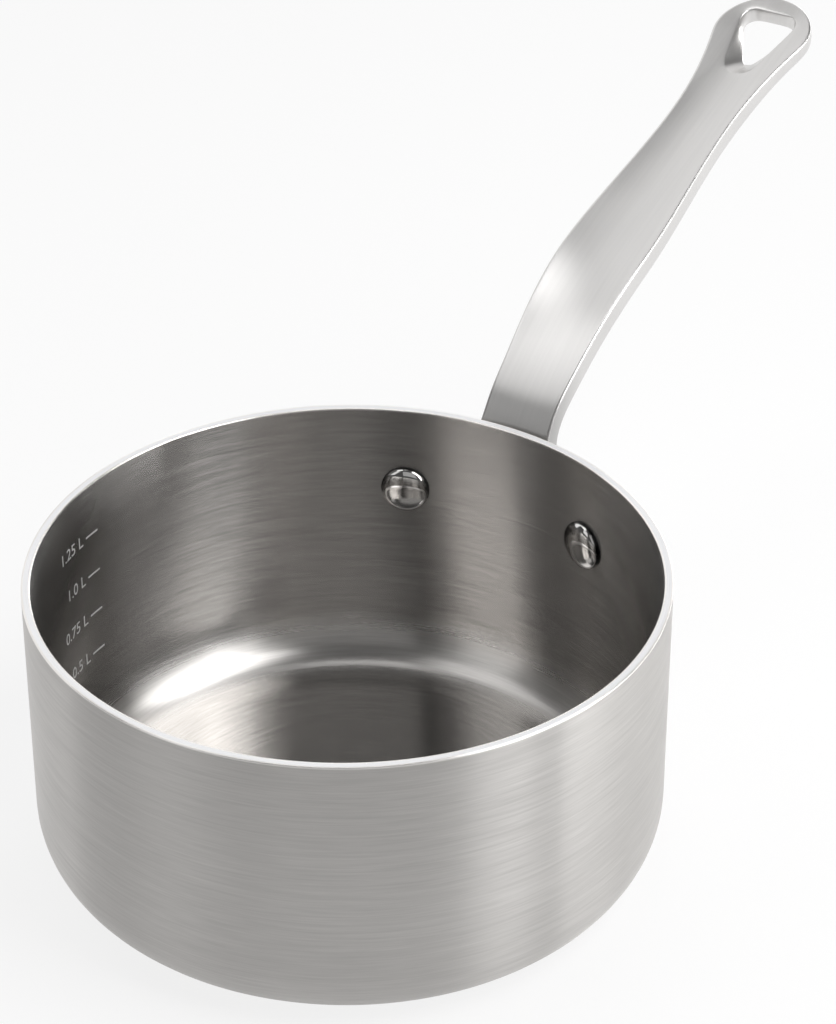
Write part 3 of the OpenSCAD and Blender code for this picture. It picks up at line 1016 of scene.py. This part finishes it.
class SAUCEPAN_OT_marks(Operator):
    """Etch the volume marks into the inner wall"""

    bl_idname = "saucepan.marks"
    bl_label = "Volume marks"

    def execute(self, context):
        size, pan = settings().mark, settings().pan
        inner_r = CORE_INNER_R - pan.inner_ply
        bm = bmesh.new()
        for k in range(size.count):
            volume = size.first + k * size.step
            height = size.base + volume * LITRE / (math.pi * inner_r ** 2)
            self.add_text(bm, f"{volume} L", size, height)
            made = bmesh.ops.create_grid(bm, x_segments=DASH_STEPS, y_segments=1, size=0.5)
            stretch = Matrix.Diagonal((size.dash_l, size.stroke, 1, 1))
            move = Matrix.Translation((-size.dash_l / 2, height, 0))
            bmesh.ops.transform(bm, verts=made["verts"], matrix=move @ stretch)
        bmesh.ops.solidify(bm, geom=bm.faces[:], thickness=2 * size.proud)
        for vert in bm.verts:
            turn = size.first_at - vert.co.x / inner_r
            radius = inner_r - size.proud - vert.co.z
            vert.co = (radius * math.cos(turn), radius * math.sin(turn), vert.co.y)
        bmesh.ops.recalc_face_normals(bm, faces=bm.faces)
        material = etched_steel("Etched steel", settings().finish.etched)
        add_piece(bm, "Volume_marks", material)
        return {"FINISHED"}

    @staticmethod
    def add_text(bm, words, size, height):
        """Figures that end just left of the dash, centred on its height."""
        curve = bpy.data.curves.new("Figures", "FONT")
        curve.body = words
        curve.size = size.letter_h / CAPITAL_SHARE
        curve.align_x, curve.align_y = "RIGHT", "CENTER"
        curve.resolution_u = LETTER_STEPS
        lettering = bpy.data.objects.new("Figures", curve)
        bpy.context.scene.collection.objects.link(lettering)
        bpy.context.view_layer.update()
        mesh = bpy.data.meshes.new_from_object(lettering)
        mesh.transform(Matrix.Translation((-size.dash_l - size.gap, height, 0)))
        bm.from_mesh(mesh)
        bpy.data.meshes.remove(mesh)
        bpy.data.objects.remove(lettering)
        bpy.data.curves.remove(curve)


# Stage
# Soft boxes: name, direction and height as seen from the pan in degrees, width and height in
# metres, and how bright the box looks, where 1 is white
SOFT_BOXES = (
    ("Right_box", 287, 49, 1.0, 0.95, 4.3),
    ("Right_low_box", 261, 24, 0.45, 0.5, 2.2),
    ("Low_box", 308, 5, 1.3, 0.22, 6.0),
    ("Side_box", 355, 5, 0.9, 0.2, 5.0),
    ("Ramp_box", 111, 64, 0.75, 0.5, 1.4),
    ("Left_box", 149, 36, 0.48, 0.75, 0.8),
    ("Top_box", 39, 76, 0.4, 0.4, 2.6),
    ("Front_box", 210, 36, 1.0, 0.9, 0.34),
)
BOX_DISTANCE = 1.3
# How much of the floor's look is plain white, half its width, and the gap between it and the pan
FLOOR_GLOW = 0.8
FLOOR_REACH = 6.0
FLOOR_GAP = 0.1 * MM
# The room's pale side, behind the pan: its middle's direction in degrees, where its edge lies and
# how soft that is, as cosines, and how bright the dark and the pale side are
PALE_MIDDLE = 52
PALE_EDGE, PALE_SOFTNESS = 0.48, 0.05
ROOM_DARK, ROOM_PALE = 0.08, 0.97
# The camera's sensor in millimetres, the picture in pixels, and the nearest and farthest it sees
SENSOR = 36.0
IMAGE_W, IMAGE_H = 836, 1024
NEAREST, FARTHEST = 0.01, 50.0
# Rounds in which the camera's aim settles
AIM_ROUNDS = 6


def add_soft_box(name, direction, height, wide, high, brightness):
    """An area lamp that faces the pan from a direction, as bright as a white card times brightness."""
    lamp = bpy.data.lights.new(name, "AREA")
    lamp.shape = "RECTANGLE"
    lamp.size, lamp.size_y = wide, high
    lamp.energy = brightness * math.pi * wide * high
    box = bpy.data.objects.new(name, lamp)
    a, e = math.radians(direction), math.radians(height)
    away = Vector((math.cos(a) * math.cos(e), math.sin(a) * math.cos(e), math.sin(e)))
    box.matrix_world = Matrix.Translation(away * BOX_DISTANCE + Vector((0, 0, RIM_HEIGHT / 2)))
    box.matrix_world @= away.to_track_quat("Z", "Y").to_matrix().to_4x4()
    bpy.context.scene.collection.objects.link(box)


def add_floor():
    """Pale floor that keeps the pan's shadow."""
    shader = new_shader("Pale floor")
    path = shader.node("ShaderNodeLightPath")
    seen = path.out("Is Camera Ray").most(path.out("Is Glossy Ray"))
    seen = seen.most(path.out("Is Transmission Ray"))
    matt = shader.node("ShaderNodeBsdfDiffuse", None, {"Color": (*settings().finish.floor, 1.0)}).out(0)
    white = shader.node("ShaderNodeEmission", None, {"Color": (1, 1, 1, 1), "Strength": 1.0}).out(0)
    material = shader.finish(shader.mixed(seen * FLOOR_GLOW, matt, white))
    bm = bmesh.new()
    bmesh.ops.create_grid(bm, x_segments=1, y_segments=1, size=FLOOR_REACH)
    bmesh.ops.translate(bm, verts=bm.verts, vec=(0, 0, -FLOOR_GAP))
    mesh = bpy.data.meshes.new("Floor")
    bm.to_mesh(mesh)
    bm.free()
    mesh.materials.append(material)
    floor = bpy.data.objects.new("Floor", mesh)
    bpy.context.scene.collection.objects.link(floor)


def add_world():
    """A room that is pale behind the pan, and dark above it and behind the camera."""
    shader = Shader(bpy.data.worlds.new("Room"))
    x, y, _ = shader.coordinates("Generated")
    middle = math.radians(PALE_MIDDLE)
    facing = x * math.cos(middle) + y * math.sin(middle)
    grey = shader.remap(
        facing, ROOM_DARK, ROOM_PALE, PALE_EDGE - PALE_SOFTNESS, PALE_EDGE + PALE_SOFTNESS, "SMOOTHSTEP"
    )
    light = shader.node("ShaderNodeBackground", None, {"Color": shader.vector(grey, grey, grey)}).out(0)
    bpy.context.scene.world = shader.finish(light, "ShaderNodeOutputWorld")


def camera_axes(forward, yaw, pitch):
    """Right, up and forward of a level camera turned by yaw and then by pitch."""
    turned = Matrix.Rotation(yaw, 3, "Z") @ forward
    right = turned.cross(Vector((0, 0, 1))).normalized()
    up = right.cross(turned)
    ahead = turned * math.cos(pitch) + up * math.sin(pitch)
    return right, right.cross(ahead), ahead


def add_camera():
    """Camera that sees the pan as the photograph does."""
    size = settings().studio
    level = Vector((math.cos(size.azimuth), math.sin(size.azimuth), 0))
    forward = level * math.cos(size.elevation) - Vector((0, 0, math.sin(size.elevation)))
    # Where the rim's centre has to be seen, in focal lengths from the middle of the picture
    want_x = (size.rim_x - IMAGE_W / 2) / size.focal
    want_y = (size.rim_y - IMAGE_H / 2) / size.focal
    yaw = pitch = 0.0
    for _ in range(AIM_ROUNDS):
        right, up, ahead = camera_axes(forward, yaw, pitch)
        deep = forward.dot(ahead)
        yaw += want_x - forward.dot(right) / deep
        pitch += want_y + forward.dot(up) / deep
    right, up, ahead = camera_axes(forward, yaw, pitch)
    lens = bpy.data.cameras.new("Camera")
    lens.sensor_fit = "VERTICAL"
    lens.sensor_height = SENSOR
    lens.lens = size.focal * SENSOR / IMAGE_H
    lens.clip_start, lens.clip_end = NEAREST, FARTHEST
    camera = bpy.data.objects.new("Camera", lens)
    place = Vector((0, 0, RIM_HEIGHT)) - forward * size.distance
    turn = Matrix((right, up, -ahead)).transposed().to_4x4()
    camera.matrix_world = Matrix.Translation(place) @ turn
    bpy.context.scene.collection.objects.link(camera)
    bpy.context.scene.camera = camera


class SAUCEPAN_OT_stage(Operator):
    """Set up the pale floor, the soft boxes and the camera"""

    bl_idname = "saucepan.stage"
    bl_label = "Stage"

    def execute(self, context):
        bpy.context.scene.view_settings.view_transform = "Standard"
        add_floor()
        add_world()
        for box in SOFT_BOXES:
            add_soft_box(*box)
        add_camera()
        return {"FINISHED"}


OPERATORS = (
    SAUCEPAN_OT_pan,
    SAUCEPAN_OT_handle,
    SAUCEPAN_OT_rivets,
    SAUCEPAN_OT_marks,
    SAUCEPAN_OT_stage,
)


class SAUCEPAN_PT_panel(Panel):
    """Sizes, finishes and steps of the saucepan"""

    bl_label = "Saucepan"
    bl_space_type = "VIEW_3D"
    bl_region_type = "UI"
    bl_category = "Saucepan"

    def draw(self, context):
        for operator in OPERATORS:
            self.layout.operator(operator.bl_idname)
        for name, group in SETTINGS.items():
            box = self.layout.box()
            box.label(text=name.capitalize())
            for key in group.__annotations__:
                box.prop(getattr(context.scene.saucepan, name), key)


CLASSES = (*SETTINGS.values(), SaucepanSettings, *OPERATORS, SAUCEPAN_PT_panel)


def register():
    for cls in CLASSES:
        bpy.utils.register_class(cls)
    bpy.types.Scene.saucepan = PointerProperty(type=SaucepanSettings)


def unregister():
    del bpy.types.Scene.saucepan
    for cls in reversed(CLASSES):
        bpy.utils.unregister_class(cls)


def main():
    register()
    bpy.ops.saucepan.pan()
    bpy.ops.saucepan.handle()
    bpy.ops.saucepan.rivets()
    bpy.ops.saucepan.marks()
    bpy.ops.saucepan.stage()


if __name__ == "__main__":
    main()
